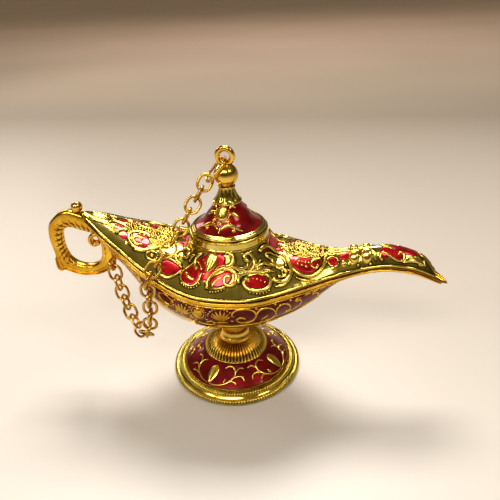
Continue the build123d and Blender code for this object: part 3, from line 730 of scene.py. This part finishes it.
# Scrollwork of the hull in tenths of a mm: width, then place and drop of each point
HULL_STRANDS = (
    (8, 31, 70, 34, 50, 46, 37, 68, 33, 92, 39, 105, 58, 103, 88, 84, 108, 60, 108, 45, 94, 50, 79, 66, 78,
     72, 89),
    (7.5, 108, 74, 116, 52, 134, 43, 154, 52, 166, 76, 162, 108, 140, 124, 114, 126),
    (7, 169, 80, 178, 54, 196, 47, 212, 64, 210, 90, 194, 100),
    (6.5, 210, 96, 236, 86, 250, 64, 240, 49, 228, 54),
    (6, 248, 98, 280, 86, 306, 60, 296, 46, 284, 52),
    (6, -150, 96, -134, 116, -108, 120, -94, 107, -104, 98, -116, 104),
    (6, -90, 122, -66, 132, -40, 128, -30, 112, -42, 103, -56, 110, -52, 120),
    (7, -26, 134, 6, 140, 42, 136, 80, 130, 120, 136),
    (6, 130, 140, 180, 132, 240, 114, 310, 86),
    (6.5, -286, 50, -264, 78, -226, 98, -186, 104, -156, 94),
    (6, -246, 76, -256, 56, -246, 40, -228, 46),
)
# Leaves of the hull: width, height, then place and drop of each point
HULL_LEAVES = (
    (9, 4, -26, 112, -4, 104, 18, 110),
    (7, 4, -139, 96, -142, 110, -128, 114),
    (8, 4, 330, 54, 308, 74, 280, 80),
    (7, 4, 118, 108, 134, 96, 146, 80),
)
# Leaf rows under the rim in mm: start, end, step, drops at both ends, and a leaf's three places
LEAF_ROWS = (
    (26, 51, 2.5, (3.9, 2.6), (0, 0.5), (1.2, -0.4), (2.3, 0.3)),
    (-47, -28, 2.4, (2.6, 3.8), (0, 0.4), (1.1, -0.4), (2.2, 0.3)),
)


def bowl_scrolls():
    """Scrollwork of the hull: round strands along lines of place and drop."""
    parts = strands(HULL, HULL_STRANDS, 1, 0.6)
    parts += rings(HULL, ((-192, 60, 26, 22, 7), (-82, 64, 20, 28, 5), (240, 50, 9, 8, 4)))
    make("bowl_scrollwork", both_sides(parts), warm_gilt)


def bowl_leaves():
    """Fans, cabochon and leaves of the hull."""
    left = (-138, 96, -168, 74, -162, 58, -150, 48, -136, 44, -122, 48, -112, 58, -108, 72)
    right = (-6, 94, -40, 68, -34, 54, -22, 44, -6, 40, 10, 44, 21, 54, 26, 68)
    parts = fan(HULL, left, 1.0, 0.45) + fan(HULL, right, 1.0, 0.45)
    parts.append(boss(HULL, oval(-8.2, 6.4, 1.6, 2.4), 0.9))
    parts += leaves(HULL, HULL_LEAVES)
    for start, end, step, drops, *leaf in LEAF_ROWS:
        for x in arange(start, end, step):
            deep = interp(x, (start, end), drops)
            parts.append(ridge(HULL, array(leaf) + (x, deep), 0.9, 0.42, "leaf"))
    make("bowl_leaves", both_sides(parts), warm_gilt)


def bowl_grains():
    """Beads of the hull: over the fans, round the cabochon and between the scrolls."""
    beads = [
        (ellipse((-13.8, 8), 4, 4.6, 195, 150, 11), 0.36),
        (ellipse((-0.7, 8.2), 4.4, 4.9, 195, 150, 12), 0.36),
        (oval(-8.2, 6.4, 2.7, 3.5, 23), 0.27),
        (pairs((110, 39, 29, 96, 216, 40, 168, 38, -220, 106, -56, 94, -109, 90)), 0.5),
        (row(pairs((-400, 39, -300, 50)), 8), 0.3), (row(pairs((340, 52, 470, 36)), 12), 0.28),
        (ellipse((-19.2, 6), 3.4, 3, 20, 140, 10), 0.27),
    ]
    parts = [grains(HULL, places, radius) for places, radius in beads]
    make("bowl_beads", both_sides(parts), warm_gilt)


def bowl_boss():
    """Boss under the bowl and the pad inside it, with the bore of the screw."""
    profile = [(BORE, 21.6), (5.4, 21.6), (6, 21.75), (6.2, 22.1), (6.4, 22.6), (7.4, 23.2), (5.4, 23.6),
               (5, 23.9), (5, 24.4), (BORE, 24.4)]
    make("bowl_boss", [lathe(profile, 96, closed=True)], plain_gilt)


# Collar, lid and finial

def rounded(points, radius):
    """Profile with each corner turned by a small arc: a quadratic curve between two cut points."""
    points = asarray(points, float)
    out = [points[:1]]
    for before, corner, after in zip(points[:-2], points[1:-1], points[2:]):
        back, on = before - corner, after - corner
        cut = min(radius, 0.45 * norm(back), 0.45 * norm(on))
        t = linspace(0, 1, 4)[:, None]
        out.append(bezier(t, corner + unit(back) * cut, corner, corner + unit(on) * cut))
    out.append(points[-1:])
    return vstack(out)


def collar_band():
    """Collar: a slightly tapered band with a foot fillet and a rolled top."""
    profile = [(10.6, 58.4), (10.6, 56.85), (13.55, 56.85), (13.6, 57.2), (13.35, 57.5), (13.15, 59.2),
               (13.3, 59.45), (13.3, 59.75), (13, 59.9), (10.6, 59.9), (10.6, 58.4)]
    band = lathe(rounded(profile, 0.12), 192)
    make("collar_band", [band], plain_gilt, replaced=["lid_collar"])


def lid_body():
    """Lid metal: spigot, flange, hidden cone and the fluted neck, turned as one closed profile."""
    hollow = [(0, 68.3), (2.6, 68.3), (6.2, 64.9), (9.2, 61)]
    flange = [(9.2, 57), (10.3, 57), (10.3, 60), (12.3, 60), (12.6, 60.3), (12.6, 60.7), (12.3, 60.95),
              (11.9, 61), (11.75, 61.25), (11.2, 61.3)]
    neck = [(4, 69.35), (4.75, 69.35), (4.8, 69.7), (4.4, 69.95), (3.95, 70.5), (3.35, 71.6), (2.9, 72.8),
            (2.55, 73.9), (2.5, 74.2), (2.9, 74.35), (2.9, 74.6), (2.5, 74.72), (0, 74.72)]
    profile = vstack([hollow, rounded(flange, 0.12), CONE[1:-1] - (0.5, 0), rounded(neck, 0.12)])

    def flutes(radius, height, turn):
        """Radius rippled by shallow flutes up the neck."""
        on_neck = clip((height - 69.9) / 0.6, 0, 1) * clip((74.1 - height) / 0.4, 0, 1)
        return radius * (1 + 0.03 * on_neck * cos(FLUTES * turn)), height, 1.0

    make("lid_body", [lathe(profile, 20 * FLUTES, flutes)], plain_gilt, body="lid", replaced=["lid"])


def lid_enamel_cone():
    """Enamel of the lid cone: its skin and the same one wall further in."""
    height = linspace(0.15, 8.3, 60)[:, None]
    around = linspace(0, 2 * pi * CONE_ROUND, 181)[None, :]
    point, normal = lay(LID, around, height)
    skin = shell(point, point - normal * 0.45)
    make("lid_enamel_cone", [skin], lid_red, body="lid", replaced=["lid_enamel"])


def lid_ornament():
    """Two cabochons with their curled leaves, sprigs and beads, half a turn apart."""
    side = [
        ridge(LID, pairs((3, 15, 19, 28, 41, 26, 54, 17, 67, 8)), [0.5, 1.2, 1.5, 1.1, 0.3], 0.5),
        ridge(LID, pairs((35, 72, 47, 80, 61, 80, 71, 72)), [0.5, 0.9, 0.9, 0.7], 0.35),
        ridge(LID, pairs((31, 53, 42, 59, 58, 56, 71, 45)), [0.6, 1.3, 1.4, 0.9], 0.42),
        grains(LID, [(2.7, 3.9)], 0.62), grains(LID, [(4.2, 1.6)], 0.85, 0.6),
    ]
    centre = [
        ridge(LID, pairs((1, 27, 1, 17, 1, 8)), [0.5, 0.8, 0.4], 0.4),
        grains(LID, ellipse((0, 6.3), 3.4, 2.6, 165, 210, 19), 0.28),
        grains(LID, [(0, 3.2), (0, 8.9)], [0.6, 0.3]),
        boss(LID, oval(0, 6.3, 3, 2.2), 0.8, power=0.7),
    ]
    motif = centre + both_sides(side)
    parts = [turned(part, angle) for part in motif for angle in (-101, 79)]
    make("lid_ornament", parts, bright_gilt, body="lid")


# Foot

def foot_plate():
    """Foot casting: beaded edge, plain groove band and notched rope ring, turned as one profile."""
    arc = linspace(-pi / 2, pi / 2, 9)
    edge = stack([BEAD[0] + 1.2 * cos(arc), BEAD[1] + 1.1 * sin(arc)], -1)
    arc = linspace(-0.1 * pi, pi, 12)
    rope = stack([ROPE[0] + 1.3 * cos(arc), ROPE[1] + 1.1 * sin(arc)], -1)
    band = [(23, 2.05), (22.75, 2.1), (22.6, 2.4), (22.4, 2.5)]
    top = [(19.75, 3.6), (16, 6.1), (12.4, 8.7), (12.4, 8.32), (6, 8.31), (1.45, 8.3), (1.45, 3), (0, 3)]
    profile = vstack([[(0, 0), (12, 0), (22.9, 0)], edge, band, rope, top])

    def notches(radius, height, turn):
        """Radius and height rippled by the notches of the beaded edge and of the rope ring."""
        wave = 1 - abs(sin(NOTCHES / 2 * turn))
        slant = 1 - abs(sin(NOTCHES / 2 * (turn + 0.02 * (radius - 21))))
        on_edge = clip(hypot(radius - BEAD[0], height - BEAD[1]) - 0.2, 0, 1) * (radius > 23.5)
        on_rope = clip((height - 2.8) / 0.4, 0, 1) * (abs(radius - ROPE[0]) < 1.32)
        # Painted shade in the valleys of the notches on the beaded edge and the rope ring.
        painted_shading = 1 - maximum(on_edge * wave, on_rope * slant)
        return radius - 0.7 * on_edge * wave, height - 0.9 * on_rope * slant, painted_shading

    plate = lathe(profile, NOTCHES * 8, notches)
    make("foot_plate", [plate], plain_gilt, replaced=["foot_base"])


def foot_ring():
    """Enamel of the foot cone: its skin, swelled a little, and the same one wall lower."""
    radius = linspace(FOOT_INNER[0], FOOT_OUTER[0], 24)[:, None]
    around = linspace(0, 2 * pi * FOOT_ROUND, 241)[None, :]
    point, normal = lay(FOOT, around, radius)
    swell = 0.12 * sin(linspace(0, pi, 24))[:, None, None]
    ring = shell(point + normal * swell, point - normal * 0.42)
    make("foot_enamel_ring", [ring], foot_red, replaced=["foot_enamel"])


def stem_dome():
    """Stem round its bore: a ribbed skirt, domed as a Bezier curve, and rings above it."""
    t = linspace(0, 1, 40)[:, None]
    dome = bezier(t, *array([(12.05, 9.45), (10.7, 13.3), (5.3, 14.35)]))
    t = linspace(0, 1, 9)
    waist = stack([4.3 - 0.8 * sin(pi * t), 20.35 + 1.1 * t], -1)
    upper = rounded([(5.1, 14.4), (5.1, 17), (3.6, 17), (3.5, 17.5), (4.3, 17.5), (4.3, 20.3)], 0.2)
    foot = [(BORE, 8.45), (12, 8.45), (12.1, 8.6), (12.1, 9.4)]
    profile = vstack([foot, dome, upper, waist, [(BORE, 21.48)]])

    def ribs(radius, height, turn):
        """Skirt sunk between its ribs, deepest at its edge, with painted shade in the same places."""
        on_skirt = clip((height - 9.2) / 0.6, 0, 1) * clip((radius - 5.3) / 1.2, 0, 1)
        sunk = on_skirt * abs(sin(RIBS / 2 * turn))
        # The third value is the painted shade between the ribs.
        return radius - 0.35 * sunk, height - 0.45 * sunk * (height > 9.3), 1 - 0.95 * sunk

    stem = lathe(profile, RIBS * 10, ribs, closed=True)
    make("stem_dome", [stem], stem_gilt, replaced=["fluted_stem"])


# Vines of the foot: width in hundredths of a mm, then degrees round it and radius in mm, both in tenths
VINES = (
    (42, 10, 194, 90, 193.5, 175, 187, 258, 173, 310, 154, 303, 139, 232, 131, 157, 141),
    (40, 310, 153, 376, 137, 446, 141), (40, 263, 172, 341, 162, 411, 168, 415, 180),
    (38, 215, 180, 281, 177, 326, 187), (34, 174, 185, 189, 169),
    (42, -2, 194, -95, 189, -173, 180, -238, 166, -250, 149, -173, 135),
    (38, -216, 170, -299, 165, -347, 180), (36, -164, 183, -238, 182, -278, 190),
    (38, -249, 154, -330, 139, -400, 146),
)


def foot_vines():
    """Four almond leaves with vines curling to both sides, in thin gold on the enamel."""
    scale = array([pi / 180 * FOOT_ROUND, 1])
    motif = [ridge(FOOT, pairs(line) * scale, [0.3, wide, wide, 0.35], 0.3, step=0.25)
             for wide, line in ((1.5 * (width / 100), line) for width, *line in VINES)]
    leaf = pairs((26, 134, 12, 162, 11, 194)) * scale
    motif.append(ridge(FOOT, leaf, 3.7, 0.5, "leaf"))
    parts = [turned(part, angle) for part in motif for angle in (-115, 65)]
    parts += [turned(mirrored(part), angle) for part in motif for angle in (-21, 159)]
    make("foot_vines", parts, bright_gilt)


# Handle

HANDLE_FRONT, HANDLE_LENGTH, HANDLE_FOOT, HANDLE_HEIGHT = -43.4, 21.95, 39.5, 25.5


def side_plan(*numbers):
    """Places on the handle's middle plane, from thousandths of its length and height."""
    along, up = pairs(numbers, 1000).T
    return stack([HANDLE_FRONT - HANDLE_LENGTH * along, HANDLE_FOOT + HANDLE_HEIGHT * up], -1)


HANDLE_OUTLINE = side_plan(
    -18, 549, 164, 804, 300, 918, 436, 965, 582, 1000, 727, 973, 850, 894, 945, 804, 991, 686, 1000,
    502, 973, 294, 923, 59, 840, 75, 714, 39, 468, 0, 191, 39, 0, 145, -86, 294)
HANDLE_HOLE = side_plan(
    773, 608, 723, 706, 618, 745, 436, 705, 277, 668, 164, 608, 136, 490, 155, 365, 209, 239, 332, 165,
    482, 145, 641, 188, 750, 314, 782, 471)
CURL = side_plan(
    105, 365, 100, 470, 109, 545, 150, 620, 223, 640, 291, 605, 318, 549, 286, 495, 227, 480, 190, 515)
HANDLE_MIDDLE = side_plan(470, 460)[0]


def by_angle(outline, angles):
    """A closed outline read at angles about the handle's middle."""
    line = row(vstack([outline, outline[:1]]), 400)[:-1] - HANDLE_MIDDLE
    turn = np.arctan2(line[:, 1], line[:, 0])
    order = np.argsort(turn)
    near = interp(angles, turn[order], hypot(*line.T)[order], period=2 * pi)
    return HANDLE_MIDDLE + near[:, None] * stack([cos(angles), sin(angles)], -1)


def squared(turn, power):
    """Rounded box section: cosine and sine of the turn, each to a power below one."""
    c, s = cos(turn), sin(turn)
    return np.sign(c) * abs(c) ** power, np.sign(s) * abs(s) ** power


def handle_leaf():
    """Handle: a ring between its outline and its hole, whose section is a rounded box; slanted leaf cuts
    run over the inner half of its sides, with a groove on each side of them."""
    angles = linspace(-pi, pi, 361)[:-1]
    outer, inner = by_angle(HANDLE_OUTLINE, angles), by_angle(HANDLE_HOLE, angles)
    turn = circle(36)
    out, thick = squared(turn, 0.55)[0], squared(turn, 0.6)[1]
    plan = (outer + inner)[:, None] / 2 + (outer - inner)[:, None] / 2 * out[..., None]
    rise = angles[:, None]
    upper = clip(0.6 + sin(rise), 0, 1) + clip(-cos(rise) - 0.2, 0, 1)
    cuts = abs(sin(14 * rise - 2.6 * out)) ** 0.7
    cuts = 1 - 0.22 * clip(upper, 0, 1) * clip(0.7 - out * 1.5, 0, 1) * (1 - cuts)
    groove = 1 - 0.10 * np.exp(-(((out + 0.35) / 0.13) ** 2)) - 0.06 * np.exp(-(((out - 0.55) / 0.1) ** 2))
    belly = 0.82 + 0.18 * sqrt(clip(1 - out**2, 0, 1))
    y = 2.0 * thick * cuts * groove * belly
    grid = stack([plan[..., 0], y + 0 * plan[..., 0], plan[..., 1]], -1)
    # Painted shade: darker in the slanted leaf cuts and in the grooves.
    painted_shading = clip((cuts * groove - 0.86) / 0.1, 0, 1) + 0 * y
    ring = patch(grid, painted_shading, wrap_rows=True, wrap_columns=True)
    make("handle_leaf", [ring], warm_gilt, replaced=["handle"])


def tube(line, width, depth):
    """Rounded box section carried along a line in the handle's plane, its ends drawn in."""
    line = asarray(line, float)
    along = unit(np.gradient(line, axis=0))
    side = stack([-along[:, 1], along[:, 0]], -1)
    t = linspace(0, 1, len(line))
    swell = round_ends(t, 0.08)
    a, b = squared(circle(20), 0.7)
    a, b = a * (asarray(width) * swell)[:, None] / 2, b * (depth * swell)[:, None] / 2
    plan = line[:, None] + side[:, None] * a[..., None]
    return patch(stack([plan[..., 0], b, plan[..., 1]], -1), wrap_columns=True)


def handle_trim():
    """The curl in the hole with its scroll end, and two mouldings along the bottom."""
    curl = row(CURL, 80)
    end = curl[-1]
    turn = circle(24)
    bow = array([(0, -1.75), (0.7, -1.75), (0.95, -1.5), (0.95, 1.5), (0.7, 1.75), (0, 1.75)])
    out, across = bow[:, :1], bow[:, 1:] + 0 * turn
    disc = stack([end[0] + out * cos(turn), across, end[1] + out * sin(turn)], -1)
    parts = [tube(curl, linspace(1.9, 1.2, 80), 3.4), patch(disc, wrap_columns=True)]
    angles = linspace(radians(-160), radians(-25), 90)
    outer, inner = by_angle(HANDLE_OUTLINE, angles), by_angle(HANDLE_HOLE, angles)
    parts += [tube(inner + (outer - inner) * share, 0.7, 4.5) for share in (0.94, 0.62)]
    make("handle_trim", parts, warm_gilt)


# Carried-over nodes, stage, lights and camera

# Floor colours from front to back, with painted light and shade: pale in front, a painted dark band behind,
# lighter again far back; shades of the sky from its rim up
FLOOR_PAINTED_SHADES = [(0.0, (0.78, 0.73, 0.68)), (0.17, (0.55, 0.48, 0.41)), (0.36, (0.27, 0.215, 0.165)),
                (0.6, (0.42, 0.31, 0.23)), (1.0, (0.86, 0.58, 0.43))]
SKY_SHADES = [(0.0, (0.50, 0.44, 0.38)), (0.08, (0.34, 0.29, 0.23)), (0.20, (0.05, 0.04, 0.02)),
              (0.45, (0.13, 0.11, 0.07)), (0.75, (0.22, 0.20, 0.14)), (1.0, (0.20, 0.18, 0.13))]
# Soft boxes: name, place in m, height of their aim on the lamp's axis, size in m, and power in W
SOFT_BOXES = [("top", (-0.08, 0.64, 1.00), 0.045, (0.55, 0.32), 15.0),
              ("front", (-0.12, -0.70, 0.85), 0.045, (0.62, 0.24), 5.5),
              ("left", (-0.62, -0.60, 0.66), 0.045, (0.16, 0.30), 1.6),
              ("right", (0.66, -0.36, 0.84), 0.045, (0.26, 0.20), 1.8),
              ("rim", (-0.5, 0.5, 0.30), 0.05, (0.3, 0.15), 0.8)]
WARM_WHITE = (1.0, 0.97, 0.92)
# Camera: its right, up and back directions, its place in m, and a lens as long as its film is wide
CAMERA_AXES = ((0.99329427, 0.11037329, -0.03441254), (-0.02407807, 0.48861541, 0.87216697),
               (0.11307844, -0.86548987, 0.48799646))
CAMERA_PLACE, CAMERA_LENS = (0.026527, -0.150445, 0.135442), 36.0


def dress_nodes():
    """Better finishes on the CAD nodes that keep their own shape."""
    finishes = {"screw_washer": screw_brass, "foot_screw": screw_brass, "chain_lug": chain_gilt,
                "finial_ball": ball_gilt, "finial_eye": ball_gilt, "handle_knob": ball_gilt}
    for name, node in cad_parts.items():
        finish = chain_gilt if "link" in name else finishes.get(name)
        if finish:
            for slot in node.material_slots:
                slot.material = finish


def stage():
    """Plain pale floor with painted light and shade from front to back."""
    f = Finish(bpy.data.materials.new("pale_floor"))
    away = f.node("SeparateXYZ", Vector=f.place).outputs["Y"]
    away = f.node("MapRange", Value=away, From_Min=-0.2, From_Max=1.4).outputs["Result"]
    cloud = f.ramp(f.noise(260, 1.0), [(0.3, 0.93), (0.7, 1.0)])
    bpy.ops.mesh.primitive_circle_add(vertices=96, radius=6, fill_type="NGON")
    floor = bpy.context.object
    floor.name = "floor"
    # Painted light and shade on the floor: the colour ramp from front to back, times faint clouding.
    shades = f.times(f.ramp(away, FLOOR_PAINTED_SHADES), cloud)
    floor.data.materials.append(f.shader(Base_Color=shades, Roughness=0.45))


def sky():
    """Soft sky, shaded by height."""
    world = bpy.data.worlds.new("soft_sky")
    bpy.context.scene.world = world
    f = Finish(world, "Generated")
    height = f.node("SeparateXYZ", Vector=f.place).outputs["Z"]
    f.shader("Background", Color=f.ramp(height, SKY_SHADES), Strength=1.0)
    bpy.context.scene.view_settings.view_transform = "Standard"


def lights():
    """Soft boxes round the lamp, each aimed at a point on its axis."""
    for name, place, height, size, power in SOFT_BOXES:
        light = bpy.data.lights.new(name, "AREA")
        light.shape, light.size, light.size_y = "RECTANGLE", *size
        light.energy, light.color = power, WARM_WHITE
        box = placed(name, light)
        box.location = place
        aim = Vector((0, 0, height)) - Vector(place)
        box.rotation_euler = aim.to_track_quat("-Z", "Y").to_euler()


def camera():
    """Camera at the photograph's angle."""
    data = bpy.data.cameras.new("camera")
    data.lens = data.sensor_width = CAMERA_LENS
    data.clip_start = 0.01
    view = placed("camera", data)
    turn = Matrix(CAMERA_AXES).transposed().to_4x4()
    turn.translation = CAMERA_PLACE
    view.matrix_world = turn
    bpy.context.scene.camera = view


deck_fields()
deck_scrolls()
deck_leaves()
deck_grains()
deck_edge()
deck_shell()
bowl_band()
bowl_fields()
bowl_scrolls()
bowl_leaves()
bowl_grains()
bowl_shell()
bowl_boss()
collar_band()
lid_body()
lid_enamel_cone()
lid_ornament()
foot_plate()
foot_ring()
stem_dome()
foot_vines()
handle_leaf()
handle_trim()
dress_nodes()
stage()
sky()
lights()
camera()
